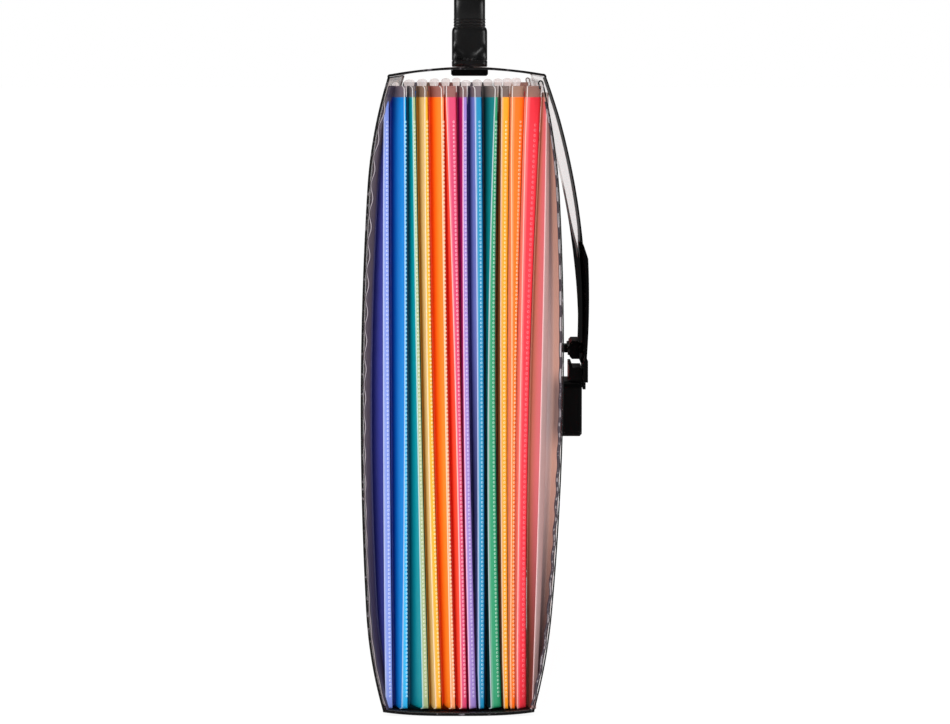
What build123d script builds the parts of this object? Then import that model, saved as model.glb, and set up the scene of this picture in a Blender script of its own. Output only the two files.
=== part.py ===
"""An accordion file folder.

A clear bowed case with open ends, a hinged lid with a carrying handle, a flap that snaps shut on the
front, and inside it a pleated body of coloured dividers that squeezes flat.
Millimetres. X runs from the back panel to the front panel, Y along the folder and Z up from its underside.
"""

import os
from math import sqrt

from build123d import *

os.makedirs("parts", exist_ok=True)

# Case sheet. The points are on its outer skin in the end view, as (X, Z): foot, low, belly, high, top.
CASE_LENGTH = 330.0
SHEET = 0.9
BACK_SKIN = [(-31.2, 2.6), (-37.6, 41.0), (-39.5, 105.0), (-36.8, 204.0), (-28.9, 247.2)]
FRONT_SKIN = [(27.7, 2.6), (34.5, 41.0), (38.8, 125.0), (37.3, 200.0), (30.8, 245.4)]
HEM_RADIUS, HEM_DROP = 1.05, 2.2
BOTTOM_OUTLINE = [(-31.2, 1.9), (-30.8, 0.8), (-13.0, 0.0), (13.0, 0.0), (27.3, 0.8), (27.7, 1.9)]
BOTTOM_BEND = 0.45

# Lid and flap
LID_REAR, LID_CROWN, LID_FRONT = (-27.9, 248.5), (1.2, 251.2), (30.6, 248.7)
FLAP_TOP, FLAP_SLANT, FLAP_KNEE = (32.0, 247.3), (43.9, 206.0), (50.4, 160.0)
FLAP_CORNER = 9.0

# Pleated body
DIVIDERS = 12
FIRST_DIVIDER = -26.6
PITCH = 4.6
DIVIDER_SHEET = 0.4
END_RECESS = 5.0
DIVIDER_LENGTH = CASE_LENGTH - 2 * END_RECESS
DIVIDER_FOOT, DIVIDER_TOP = 3.2, 239.7
DIVIDER_CORNER = 3.0
TAB_LENGTH, TAB_FOOT, TAB_TOP = 46.0, 232.0, 245.2
TAB_WALL, TAB_SLOT, TAB_INSET, TABS_PER_ROW = 0.3, 0.5, 7.0, 6
TAB_STEP = (DIVIDER_LENGTH - TAB_LENGTH - 2 * TAB_INSET) / (TABS_PER_ROW - 1)
GUSSET_TOP = 244.0
GUSSET_DEPTH = 17.0
GUSSET_FILM = 0.4
FLANGE_WIDTH, FLANGE_FILM = 5.0, 0.3
WELD_GAP = 0.05
WALL_GAP = 0.2
FLOOR_RISE = 4.0
WALL_SPANS = 6
FLOOR_LENGTH = DIVIDER_LENGTH - 2 * GUSSET_DEPTH - 2.0

# Latch: its heights go up from the foot of the base, and the flap above it stops short of the base's lip
BASE_WIDTH, BASE_BACK, BASE_FACE, BASE_HEIGHT, BASE_CORNER = 32.0, 38.8, 50.3, 23.5, 3.0
BASE_FOOT = 94.2
BASE_SHELF = BASE_FOOT + BASE_HEIGHT
BASE_TOP = BASE_SHELF + 5.7
LIP_BACK, LIP_RIB, LIP_WIDTH, LIP_ROOT = 44.8, BASE_TOP + 1.8, 26.0, 6.0
PLATE_WIDTH, PLATE_FOOT, PLATE_TOP = 28.0, BASE_FOOT + 2.2, BASE_SHELF - 3.3
RIVET_RADIUS, RIVET_GAP, RIVET_SPREAD = 1.6, 0.05, 9.0
RIVET_HEAD, RIVET_HEAD_HEIGHT, SHEET_HOLE, RIVET_DEPTH = 2.6, 0.8, 1.7, 6.0
BASE_RIVET_HEIGHT, CLIP_RIVET_HEIGHT = (PLATE_FOOT + PLATE_TOP) / 2, BASE_SHELF + 13.3
THROUGH = 8.0
FLAP_END = (50.3, BASE_TOP + 3.0)
FLAP_TIP = [(40.0, FLAP_END[1] + 16.6), (34.0, FLAP_END[1] - 4.4)]
FLAP_OUTLINE = [(163.0, 250.0), (161.0, 232.0), (97.0, 186.0), *FLAP_TIP]
CLIP_WIDTH, CLIP_BACK, CLIP_TAIL, CLIP_FOOT = 30.0, 51.3, BASE_SHELF - 3.4, BASE_SHELF + 9.7
CLIP_BELLY, CLIP_SHOULDER, CLIP_TOP = BASE_SHELF + 35.3, BASE_SHELF + 52.3, BASE_SHELF + 58.3
CLIP_BOW = [(52.4, CLIP_FOOT), (53.3, CLIP_BELLY), (52.9, CLIP_SHOULDER), (50.9, CLIP_TOP)]
CLIP_INSIDE = [(49.4, CLIP_TOP), (50.95, CLIP_BELLY + 5.0), (CLIP_BACK, CLIP_BELLY - 13.0)]
TAIL_BACK, THUMB_FACE, THUMB_RIBS, THUMB_MARGIN = 50.7, 52.9, 4, 4.0
BLOCK_BACK, BLOCK_FACE, BLOCK_WIDTH, BLOCK_HEIGHT = 45.2, 49.2, 26.0, 7.7
BLOCK_FOOT = BASE_SHELF + 9.5
STUB_BACK, STUB_SIZE, STUB_WIDTH = 39.3, 3.4, 8.0
STUD_RADIUS, SOCKET_RADIUS, STUD_HEIGHT, STUD_REACH, SOCKET_GAP = 2.0, 2.5, BASE_SHELF + 2.7, 4.75, 0.6
STUD_NOSE, STUD_BEAD = CLIP_BACK - STUD_REACH, 1.4

# Handle
HANDLE_X = 2.5
HANDLE_LENGTH = 124.0
LUG_WIDTH, LUG_FLANGE, LUG_THICK, LUG_TOP = 14.5, 35.0, 11.0, 267.4
LUG_FOOT = 251.25
LUG_FLANGE_HEIGHT, LUG_SHOULDER, LUG_SWEEP = 2.6, 2.2, 6.0
LEG_WIDTH, LEG_THICK, LEG_GAP = 9.0, 4.0, 0.3
HEAD_WIDTH, HEAD_THICK, HEAD_HEIGHT = 11.2, 6.4, 3.0
LIFT = 5.0
COLLAR = 5.0
GRIP_WIDTH, GRIP_THICK, GRIP_RISE, GRIP_BEVEL, GRIP_LEAN = 12.8, 7.0, 23.8, 1.3, 1.8
GRIP_TOP, GRIP_ARCH, GRIP_BEND = LUG_TOP + GRIP_RISE, 0.19 * GRIP_RISE, 0.55 * GRIP_RISE
FLEX_RIBS, FLEX_RISE, FLEX_STEP, FLEX_DEPTH = 3, 5.4, 1.25, 0.35
KEEPER_WIDTH, KEEPER_LENGTH, KEEPER_THICK, KEEPER_TOP = 15.0, 35.0, 2.4, 250.0
LUG_RIVET_SPREAD = 14.4


def mirrored_pair(shape):
    """The shape at one end of the folder and its mirror image at the other end."""
    return [shape, mirror(shape, about=Plane.XZ)]


def skin_arcs(foot, low, belly, high, top):
    """A panel's bow: a nearly flat belly arc that runs into tighter arcs at its foot and shoulder."""
    middle = ThreePointArc(low, belly, high)
    under = TangentArc(low, foot, tangent=-(middle % 0))
    return [ThreePointArc(foot, under @ 0.5, low), middle, TangentArc(high, top, tangent=middle % 1)]


back_arcs, front_arcs = skin_arcs(*BACK_SKIN), skin_arcs(*FRONT_SKIN)


def inside_x(arcs, height, way):
    """X of a bowed panel's inner face at a height; way is -1 for the back and 1 for the front."""
    arc = next((a for a in arcs if height < (a @ 1).Y), arcs[-1])
    middle, reach = arc.arc_center, arc.radius - SHEET
    return middle.X + way * sqrt(reach**2 - (height - middle.Y) ** 2)


def divider_x(number):
    return FIRST_DIVIDER + (number - 1) * PITCH


def rivet(x_head, x_tip, y, z, head_radius=RIVET_HEAD, head=RIVET_HEAD_HEIGHT):
    """A rivet along X with a flat head at x_head."""
    way = 1 if x_tip > x_head else -1
    with BuildPart() as made:
        with Locations(Plane((x_head, y, z), z_dir=(way, 0, 0))):
            Cylinder(head_radius, head, align=(Align.CENTER, Align.CENTER, Align.MIN))
            Cylinder(RIVET_RADIUS, abs(x_tip - x_head), align=(Align.CENTER, Align.CENTER, Align.MIN))
    return made.part


def pleat_outline(left, right, tip, depth):
    """Plan of one pleat: a weld flange along each neighbour's face, and a fold inwards between them."""
    middle = (left + right) / 2
    inner_left, inner_right = left + FLANGE_FILM + 0.12, right - FLANGE_FILM - 0.12
    slope = (middle - inner_left) / depth
    notch = tip + 0.4
    return [
        (left, tip + FLANGE_WIDTH),
        (left, tip),
        (inner_left + GUSSET_FILM, tip),
        (middle, tip + depth - GUSSET_FILM / slope),
        (inner_right - GUSSET_FILM, tip),
        (right, tip),
        (right, tip + FLANGE_WIDTH),
        (right - FLANGE_FILM, tip + FLANGE_WIDTH),
        (right - FLANGE_FILM, notch),
        (inner_right, notch),
        (middle, tip + depth),
        (inner_left, notch),
        (left + FLANGE_FILM, notch),
        (left + FLANGE_FILM, tip + FLANGE_WIDTH),
    ]


def gusset(left, right, top, spans):
    """The end pleats and the floor of one pocket; left and right give X of its sides at a height."""
    rise = (top - DIVIDER_FOOT) / spans
    with BuildPart() as end:
        for step in range(spans + 1):
            height = DIVIDER_FOOT + step * rise
            with BuildSketch(Plane.XY.offset(height)):
                plan = pleat_outline(left(height), right(height), -DIVIDER_LENGTH / 2, GUSSET_DEPTH)
                Polygon(*plan, align=None)
        loft(ruled=True)
    with BuildPart() as floor:
        with BuildSketch(Plane.XZ):
            low, high = DIVIDER_FOOT, DIVIDER_FOOT + FLOOR_RISE
            start, finish = left(low), right(low)
            middle = (start + finish) / 2
            Polygon(
                (start, low), (middle, high - GUSSET_FILM), (finish, low), (finish, low + GUSSET_FILM),
                (middle, high), (start, low + GUSSET_FILM), align=None,
            )
        extrude(amount=FLOOR_LENGTH / 2, both=True)
    with BuildPart() as made:
        add(mirrored_pair(end.part))
        add(floor.part)
    return made


# The case: back, bottom and front panels, one sheet scored along its creases

with BuildPart() as back_panel:
    with BuildSketch(Plane.XZ):
        with BuildLine() as outline:
            add(back_arcs)
            offset(outline.line, amount=SHEET, side=Side.RIGHT)
        make_face()
    extrude(amount=CASE_LENGTH / 2, both=True)
    crease = back_panel.faces().sort_by(Axis.Z)[-1].edges().filter_by(Axis.Y)
    fillet(crease, SHEET * 0.45)

with BuildPart() as bottom_panel:
    with BuildSketch(Plane.XZ):
        with BuildLine():
            skin = FilletPolyline(*BOTTOM_OUTLINE, radius=BOTTOM_BEND)
            offset(skin, amount=SHEET, side=Side.LEFT)
        make_face()
    extrude(amount=CASE_LENGTH / 2, both=True)

with BuildPart() as front_panel:
    with BuildSketch(Plane.XZ):
        with BuildLine() as outline:
            add(front_arcs)
            roll = JernArc(front_arcs[2] @ 1, front_arcs[2] % 1, HEM_RADIUS, 180)
            Line(roll @ 1, roll @ 1 + HEM_DROP * (roll % 1))
            offset(outline.line, amount=SHEET, side=Side.LEFT)
        make_face()
    extrude(amount=CASE_LENGTH / 2, both=True)
    with Locations((BASE_BACK, 0, BASE_RIVET_HEIGHT)):
        with GridLocations(0, 2 * RIVET_SPREAD, 1, 2):
            Cylinder(SHEET_HOLE, THROUGH, rotation=(0, 90, 0), mode=Mode.SUBTRACT)

# The lid and its flap

with BuildPart() as lid_panel:
    with BuildSketch(Plane.XZ):
        with BuildLine():
            skin = ThreePointArc(LID_REAR, LID_CROWN, LID_FRONT)
            offset(skin, amount=SHEET, side=Side.RIGHT)
        make_face()
    extrude(amount=CASE_LENGTH / 2, both=True)
    with Locations((HANDLE_X, 0, LUG_FOOT)):
        with GridLocations(0, HANDLE_LENGTH, 1, 2), GridLocations(0, 2 * LUG_RIVET_SPREAD, 1, 2):
            Cylinder(SHEET_HOLE, THROUGH, mode=Mode.SUBTRACT)
    edges = lid_panel.edges().filter_by(Axis.Y)
    chamfer(edges.group_by(Axis.X)[0] + edges.group_by(Axis.X)[-1], SHEET * 0.35)

with BuildPart() as lid_flap:
    with BuildSketch(Plane.XZ):
        with BuildLine() as outline:
            slant = ThreePointArc(FLAP_TOP, FLAP_SLANT, FLAP_KNEE)
            TangentArc(FLAP_KNEE, FLAP_END, tangent=slant % 1)
            offset(outline.line, amount=SHEET, side=Side.RIGHT)
        make_face()
    extrude(amount=CASE_LENGTH / 2, both=True)
    with BuildSketch(Plane.YZ):
        with BuildLine():
            far_side = [(-y, z) for y, z in reversed(FLAP_OUTLINE)]
            Polyline(*FLAP_OUTLINE, *far_side, close=True)
        taper = make_face()
        fillet(taper.vertices().group_by(Axis.Y)[0], FLAP_CORNER)
    extrude(amount=80, mode=Mode.INTERSECT)
    with Locations((CLIP_BACK, 0, CLIP_RIVET_HEIGHT)):
        with GridLocations(0, 2 * RIVET_SPREAD, 1, 2):
            Cylinder(SHEET_HOLE, THROUGH, rotation=(0, 90, 0), mode=Mode.SUBTRACT)

# The latch: a socket on the front panel and a clip with a snap stud on the flap

with BuildPart() as latch_base:
    with BuildSketch(Plane.XZ):
        Polygon(
            (BASE_BACK, BASE_FOOT), (BASE_FACE, BASE_FOOT), (BASE_FACE, BASE_SHELF),
            (BASE_BACK, BASE_SHELF), align=None,
        )
    extrude(amount=BASE_WIDTH / 2, both=True)
    fillet(latch_base.edges().filter_by(Axis.X), BASE_CORNER)
    chamfer(latch_base.edges().group_by(Axis.X)[-1], 0.9)
    with BuildSketch(Plane.XZ):
        Polygon(
            (LIP_BACK, BASE_SHELF - LIP_ROOT), (BASE_FACE - 0.02, BASE_SHELF - LIP_ROOT),
            (BASE_FACE - 0.02, BASE_TOP),
            (LIP_BACK + 1.6, BASE_TOP), (LIP_BACK + 1.2, LIP_RIB), (LIP_BACK, LIP_RIB), align=None,
        )
    extrude(amount=LIP_WIDTH / 2, both=True)
    with Locations(Plane((BASE_FACE, 0, STUD_HEIGHT), z_dir=(1, 0, 0))):
        Hole(SOCKET_RADIUS, depth=BASE_FACE - STUD_NOSE + SOCKET_GAP)
    with Locations(Plane((BASE_BACK, 0, BASE_RIVET_HEIGHT), z_dir=(-1, 0, 0))):
        with GridLocations(0, 2 * RIVET_SPREAD, 1, 2):
            Hole(RIVET_RADIUS + RIVET_GAP, depth=RIVET_DEPTH + 0.2)

with BuildPart() as latch_base_plate:
    inside = inside_x(front_arcs, PLATE_FOOT, 1) - 0.05
    with Locations((inside, 0, (PLATE_FOOT + PLATE_TOP) / 2)):
        Box(1.2, PLATE_WIDTH, PLATE_TOP - PLATE_FOOT, align=(Align.MAX, Align.CENTER, Align.CENTER))
    chamfer(latch_base_plate.edges().filter_by(Axis.X), 2.0)
    with Locations((inside, 0, BASE_RIVET_HEIGHT)):
        with GridLocations(0, 2 * RIVET_SPREAD, 1, 2):
            Cylinder(RIVET_RADIUS + RIVET_GAP, THROUGH, rotation=(0, 90, 0), mode=Mode.SUBTRACT)

with BuildPart() as latch_base_rivets:
    for y in (-RIVET_SPREAD, RIVET_SPREAD):
        add(rivet(inside - 2.0, BASE_BACK + RIVET_DEPTH, y, BASE_RIVET_HEIGHT))

with BuildPart() as latch_clip:
    with BuildSketch(Plane.XZ):
        with BuildLine():
            thumb = Polyline(
                (CLIP_BACK, CLIP_FOOT - 1), (TAIL_BACK, CLIP_FOOT - 2), (TAIL_BACK, CLIP_TAIL),
                (TAIL_BACK + 1.2, CLIP_TAIL), (TAIL_BACK + 1.2, CLIP_TAIL + 3), (THUMB_FACE, CLIP_TAIL + 3),
                (THUMB_FACE, CLIP_FOOT - 1), CLIP_BOW[0],
            )
            ThreePointArc(*CLIP_BOW[:3])
            Polyline(CLIP_BOW[2], CLIP_BOW[3], CLIP_INSIDE[0])
            ThreePointArc(*CLIP_INSIDE)
            Line(CLIP_INSIDE[2], thumb @ 0)
        make_face()
    extrude(amount=CLIP_WIDTH / 2, both=True)
    ends = latch_clip.edges().filter_by(Axis.X)
    chamfer(ends.group_by(Axis.Z)[0] + ends.group_by(Axis.Z)[-1], 0.8)
    for rib in range(THUMB_RIBS):
        with Locations((THUMB_FACE + 0.2, 0, CLIP_TAIL + 5.0 + rib * 2.0)):
            Box(0.8, CLIP_WIDTH - 2 * THUMB_MARGIN, 0.8, mode=Mode.SUBTRACT)
    with Locations((CLIP_BACK, 0, CLIP_RIVET_HEIGHT)):
        with GridLocations(0, 2 * RIVET_SPREAD, 1, 2):
            Cylinder(RIVET_RADIUS + RIVET_GAP, 3.0, rotation=(0, 90, 0), mode=Mode.SUBTRACT)
    with Locations((CLIP_BACK, 0, STUD_HEIGHT)):
        Cylinder(STUD_RADIUS - 0.4, 3.0, rotation=(0, 90, 0), mode=Mode.SUBTRACT)

with BuildPart() as latch_clip_block:
    with Locations((BLOCK_BACK, 0, BLOCK_FOOT)):
        Box(BLOCK_FACE - BLOCK_BACK, BLOCK_WIDTH, BLOCK_HEIGHT, align=(Align.MIN, Align.CENTER, Align.MIN))
    chamfer(latch_clip_block.edges().filter_by(Axis.Y).group_by(Axis.X)[0], 0.9)
    with Locations((STUB_BACK, 0, CLIP_RIVET_HEIGHT)):
        Box(BLOCK_BACK - STUB_BACK + 1, STUB_WIDTH, STUB_SIZE, align=(Align.MIN, Align.CENTER, Align.CENTER))
    with Locations((BLOCK_BACK, 0, CLIP_RIVET_HEIGHT)):
        with GridLocations(0, 2 * RIVET_SPREAD, 1, 2):
            Cylinder(RIVET_RADIUS + RIVET_GAP, 1.5 * THROUGH, rotation=(0, 90, 0), mode=Mode.SUBTRACT)

with BuildPart() as latch_clip_rivets:
    for y in (-RIVET_SPREAD, RIVET_SPREAD):
        add(rivet(BLOCK_BACK - 0.85, CLIP_BACK + 1.4, y, CLIP_RIVET_HEIGHT, 2.4))

with BuildPart() as latch_stud:
    with Locations(Plane((STUD_NOSE, 0, STUD_HEIGHT), z_dir=(1, 0, 0))):
        Cone(STUD_RADIUS - STUD_BEAD / 2, STUD_RADIUS, STUD_BEAD,
             align=(Align.CENTER, Align.CENTER, Align.MIN))
        Cylinder(STUD_RADIUS - 0.45, CLIP_BACK + 1.4 - STUD_NOSE,
                 align=(Align.CENTER, Align.CENTER, Align.MIN))

# The handle: a moulded arch whose legs slide in two lugs riveted through the lid

with BuildPart() as lug:
    with BuildSketch(Plane.YZ.offset(HANDLE_X)):
        half, foot, flange = LUG_THICK / 2, LUG_FLANGE / 2, LUG_FOOT + LUG_FLANGE_HEIGHT
        with BuildLine():
            rise = Polyline((half, LUG_TOP), (-half, LUG_TOP), (-half, flange + LUG_SWEEP))
            flare = RadiusArc(rise @ 1, (-half - LUG_SWEEP, flange), LUG_SWEEP)
            base = Polyline(
                flare @ 1, (-foot, flange), (-foot, LUG_FOOT), (foot, LUG_FOOT), (foot, flange),
                (half + LUG_SWEEP, flange),
            )
            RadiusArc(base @ 1, (half, flange + LUG_SWEEP), LUG_SWEEP)
            Line((half, flange + LUG_SWEEP), (half, LUG_TOP))
        make_face()
    extrude(amount=LUG_WIDTH / 2, both=True)
    chamfer(lug.edges().filter_by(Axis.Y).group_by(Axis.Z)[-1], LUG_SHOULDER)
    with Locations((HANDLE_X, 0, LUG_FOOT)):
        Box(LEG_WIDTH + 2 * LEG_GAP, LEG_THICK + 2 * LEG_GAP, 3 * (LUG_TOP - LUG_FOOT), mode=Mode.SUBTRACT)
        Box(HEAD_WIDTH + 2 * LEG_GAP, HEAD_THICK + 2 * LEG_GAP, LUG_TOP - LUG_FOOT - COLLAR,
            align=(Align.CENTER, Align.CENTER, Align.MIN), mode=Mode.SUBTRACT)
        with GridLocations(0, 2 * LUG_RIVET_SPREAD, 1, 2):
            Cylinder(RIVET_RADIUS + RIVET_GAP, THROUGH, mode=Mode.SUBTRACT)

with BuildPart() as handle_lugs:
    with GridLocations(0, HANDLE_LENGTH, 1, 2):
        add(lug.part)

with BuildPart() as handle_keepers:
    with Locations((HANDLE_X, 0, KEEPER_TOP)), GridLocations(0, HANDLE_LENGTH, 1, 2):
        Box(KEEPER_WIDTH, KEEPER_LENGTH, KEEPER_THICK, align=(Align.CENTER, Align.CENTER, Align.MAX))
    chamfer(handle_keepers.edges().filter_by(Axis.Y).group_by(Axis.Z)[0], 0.7)
    with Locations((HANDLE_X, 0, KEEPER_TOP)):
        with GridLocations(0, HANDLE_LENGTH, 1, 2), GridLocations(0, 2 * LUG_RIVET_SPREAD, 1, 2):
            Cylinder(RIVET_RADIUS + RIVET_GAP, THROUGH, mode=Mode.SUBTRACT)

with BuildPart() as lug_rivet:
    with Locations((HANDLE_X, 0, LUG_FOOT + LUG_FLANGE_HEIGHT + 0.02)):
        Cylinder(RIVET_HEAD, RIVET_HEAD_HEIGHT, align=(Align.CENTER, Align.CENTER, Align.MIN))
        Cylinder(RIVET_RADIUS, LUG_FLANGE_HEIGHT + LUG_FOOT - KEEPER_TOP + KEEPER_THICK - 0.2,
                 align=(Align.CENTER, Align.CENTER, Align.MAX))

with BuildPart() as handle_rivets:
    with GridLocations(0, HANDLE_LENGTH, 1, 2), GridLocations(0, 2 * LUG_RIVET_SPREAD, 1, 2):
        add(lug_rivet.part)

with BuildPart() as half_grip:
    half_span, seat, half = HANDLE_LENGTH / 2, LUG_TOP + 0.1, GRIP_THICK / 2
    with BuildSketch(Plane.YZ.offset(HANDLE_X)):
        with BuildLine():
            back = FilletPolyline(
                (-half_span - half, seat), (-half_span - half, seat + FLEX_RISE),
                (-half_span - half + GRIP_LEAN, GRIP_TOP - GRIP_ARCH), (-half_span / 2, GRIP_TOP),
                (0, GRIP_TOP), radius=GRIP_BEND,
            )
            offset(back, amount=GRIP_THICK, side=Side.RIGHT)
        make_face()
    extrude(amount=GRIP_WIDTH / 2, both=True)
    cheeks = half_grip.faces().filter_by(Axis.X).edges()
    chamfer([rim for rim in cheeks if rim.center().Y < -1 and rim.center().Z > seat + 1], GRIP_BEVEL)

with BuildPart() as handle_grip:
    add(mirrored_pair(half_grip.part))
    for way in (-1, 1):
        for rib in range(FLEX_RIBS):
            with Locations((HANDLE_X, way * (half_span + GRIP_THICK / 2), seat + 1.6 + rib * FLEX_STEP)):
                Box(GRIP_WIDTH + 1, 3 * FLEX_DEPTH, 0.5, mode=Mode.SUBTRACT)
    with Locations((HANDLE_X, 0, seat + 1)), GridLocations(0, HANDLE_LENGTH, 1, 2):
        Box(LEG_WIDTH, LEG_THICK, COLLAR + LIFT + 1.2, align=(Align.CENTER, Align.CENTER, Align.MAX))
    with Locations((HANDLE_X, 0, LUG_TOP - COLLAR - LIFT - 0.1)), GridLocations(0, HANDLE_LENGTH, 1, 2):
        Box(HEAD_WIDTH, HEAD_THICK, HEAD_HEIGHT, align=(Align.CENTER, Align.CENTER, Align.MAX))

# The pleated body: coloured dividers with clear tabs, and a folded gusset on each side of them

dividers, tabs = [], []
for number in range(1, DIVIDERS + 1):
    with BuildPart() as divider:
        with BuildSketch(Plane.YZ.offset(divider_x(number))):
            with Locations((0, (DIVIDER_FOOT + DIVIDER_TOP) / 2)):
                face = Rectangle(DIVIDER_LENGTH, DIVIDER_TOP - DIVIDER_FOOT)
            chamfer(face.vertices().group_by(Axis.Y)[-1], DIVIDER_CORNER)
        extrude(amount=DIVIDER_SHEET / 2, both=True)
    dividers.append(divider)

    place = (number - 1) % TABS_PER_ROW - (TABS_PER_ROW - 1) / 2
    with BuildPart() as tab:
        with Locations((divider_x(number), place * TAB_STEP, TAB_TOP)):
            Box(TAB_SLOT + 2 * TAB_WALL, TAB_LENGTH, TAB_TOP - TAB_FOOT,
                align=(Align.CENTER, Align.CENTER, Align.MAX))
        with Locations((divider_x(number), place * TAB_STEP, TAB_TOP - TAB_WALL)):
            Box(TAB_SLOT, TAB_LENGTH + 2, TAB_TOP - TAB_FOOT,
                align=(Align.CENTER, Align.CENTER, Align.MAX), mode=Mode.SUBTRACT)
    tabs.append(tab)

reach = DIVIDER_SHEET / 2 + WELD_GAP
gussets = [gusset(
    lambda z: inside_x(back_arcs, z, -1) + WALL_GAP, lambda z: divider_x(1) - reach, GUSSET_TOP, WALL_SPANS,
)]
for number in range(1, DIVIDERS):
    left_x, right_x = divider_x(number) + reach, divider_x(number + 1) - reach
    gussets.append(gusset(lambda z: left_x, lambda z: right_x, GUSSET_TOP, 1))
hem_foot = FRONT_SKIN[-1][1] - HEM_DROP - 0.7
gussets.append(gusset(
    lambda z: divider_x(DIVIDERS) + reach, lambda z: inside_x(front_arcs, z, 1) - WALL_GAP, hem_foot,
    WALL_SPANS,
))

nodes = {
    "back_panel": back_panel,
    "bottom_panel": bottom_panel,
    "front_panel": front_panel,
    "lid_panel": lid_panel,
    "lid_flap": lid_flap,
    "latch_base": latch_base,
    "latch_base_plate": latch_base_plate,
    "latch_base_rivets": latch_base_rivets,
    "latch_clip": latch_clip,
    "latch_clip_block": latch_clip_block,
    "latch_clip_rivets": latch_clip_rivets,
    "latch_stud": latch_stud,
    "handle_grip": handle_grip,
    "handle_lugs": handle_lugs,
    "handle_keepers": handle_keepers,
    "handle_rivets": handle_rivets,
}
nodes |= {f"divider_{n:02d}": made for n, made in enumerate(dividers, 1)}
nodes |= {f"index_tab_{n:02d}": made for n, made in enumerate(tabs, 1)}
nodes |= {f"gusset_{n:02d}": made for n, made in enumerate(gussets, 1)}

for name, made in nodes.items():
    made.part.label = name
    export_step(made.part, f"parts/{name}.step")
    print(name, len(made.part.solids()), round(made.part.volume, 1))
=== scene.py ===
"""The looks of an accordion file folder: smoky film case, coloured pleats, black moulded handle and latch.

Shapes are worked out in millimetres as whole arrays and put into meshes in metres, in the part's own frame:
X runs from the back panel to the front panel, Y along the folder and Z up.
"""

import bpy
import numpy as np
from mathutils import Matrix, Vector


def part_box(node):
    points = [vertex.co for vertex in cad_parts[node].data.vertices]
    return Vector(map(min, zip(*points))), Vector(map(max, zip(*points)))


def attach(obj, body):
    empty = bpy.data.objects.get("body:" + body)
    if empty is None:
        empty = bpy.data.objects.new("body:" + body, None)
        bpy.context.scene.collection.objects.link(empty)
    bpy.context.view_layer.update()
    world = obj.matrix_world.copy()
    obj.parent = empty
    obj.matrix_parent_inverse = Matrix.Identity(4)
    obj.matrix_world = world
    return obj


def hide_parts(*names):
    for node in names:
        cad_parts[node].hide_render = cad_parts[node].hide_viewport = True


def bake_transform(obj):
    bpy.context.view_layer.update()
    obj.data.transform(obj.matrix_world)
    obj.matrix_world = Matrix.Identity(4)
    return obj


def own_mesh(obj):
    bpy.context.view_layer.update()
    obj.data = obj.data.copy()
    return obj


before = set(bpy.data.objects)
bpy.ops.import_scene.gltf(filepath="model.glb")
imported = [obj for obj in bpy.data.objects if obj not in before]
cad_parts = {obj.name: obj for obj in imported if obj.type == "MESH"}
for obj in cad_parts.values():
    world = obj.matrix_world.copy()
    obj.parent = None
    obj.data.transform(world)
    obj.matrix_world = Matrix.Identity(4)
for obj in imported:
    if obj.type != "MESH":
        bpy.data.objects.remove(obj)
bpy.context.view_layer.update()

MM = 0.001


def box_mm(node):
    """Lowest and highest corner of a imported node, in millimetres."""
    low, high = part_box(node)
    return np.array(low) / MM, np.array(high) / MM


# Case sheet, in the end view as (X, Z) on the outer skin: foot, low, belly, high, top
END = box_mm("back_panel")[1][1]
SHEET = 0.9
FRONT_SHEET = 0.6 * SHEET
BACK_SKIN = (-31.1, 1.8), (-37.6, 41.0), (-39.5, 105.0), (-36.8, 204.0), (-28.9, 247.2)
FRONT_SKIN = (27.6, 1.8), (34.5, 41.0), (38.8, 125.0), (37.3, 200.0), (30.8, 245.4)
HEM_RADIUS, HEM_DROP = 1.05, 2.2
LID_ARC = (-27.9, 248.5), (1.2, 251.2), (30.6, 248.7)
BOTTOM_WIDTH, BOTTOM_SAG = (-31.1, 27.6), 1.5
FLAP_CURVE = (32.0, 247.3), (43.9, 206.0), (50.4, 160.0), (50.3, 126.4)
FLAP_HALF_WIDTHS, FLAP_CORNER = ((122, 143, 186, 232, 250), (34, 40, 97, 161, 163)), 9.0
# How much slimmer and paler the flap's painted dark reflection is along its far edge, and the heights over
# which that comes in
FLAP_FAR_SLIM, FLAP_FAR_PALE, FLAP_FAR_LEVELS = 2.5, 0.3, (175, 200)

# Pleats: crest fold and flange end of each pocket as X at the foot, middle and top of the folder
PLEAT_HEIGHTS = 6.2, 122.3, 238.4
CRESTS = [
    (-30.2, -30.8, -30.4), (-23.8, -22.6, -22.6), (-15.8, -17.8, -19.4), (-10.8, -13.7, -14.7),
    (-4.8, -6.9, -8.3), (-0.8, -2.9, -6.4), (2.2, 0.4, 0.0), (5.8, 5.6, 4.6), (10.8, 9.7, 12.2),
    (15.6, 14.5, 14.9), (18.2, 18.8, 18.4), (20.9, 22.1, 24.3), (27.0, 30.2, 32.1),
]
FLANGE_ENDS = [
    (-27.6, -28.5, -28.6), (-21.7, -21.9, -22.0), (-13.7, -16.4, -18.4), (-8.8, -12.0, -13.7),
    (-3.3, -6.2, -7.5), (1.3, -1.0, -2.7), (5.0, 2.3, 1.4), (8.1, 7.9, 7.0), (14.7, 12.4, 13.2),
    (17.4, 16.8, 17.8), (20.0, 20.3, 23.4), (24.4, 25.3, 29.8), (28.6, 32.3, 32.9),
]
POCKETS, DIVIDERS = 13, 12
LAST_POCKET = POCKETS - 1
CREST_Y, VALLEY_Y, ENTRY_Y, WALL_Y = -161.5, -157.0, -158.6, -163.4
PLEAT_FOOT, VALLEY_FOOT, PLEAT_TOP, LAST_PLEAT_TOP = 1.5, 3.6, 244.0, 241.5
PLEAT_FOOT_ROUND, PLEAT_TOP_ROUND = 0.8, 1.6
COLOUR_TOP = 239.7
PLEAT_FILM = 0.28
FIRST_DIVIDER, PITCH, CLOSED_PITCH = -26.6, 4.6, 2.2
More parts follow.
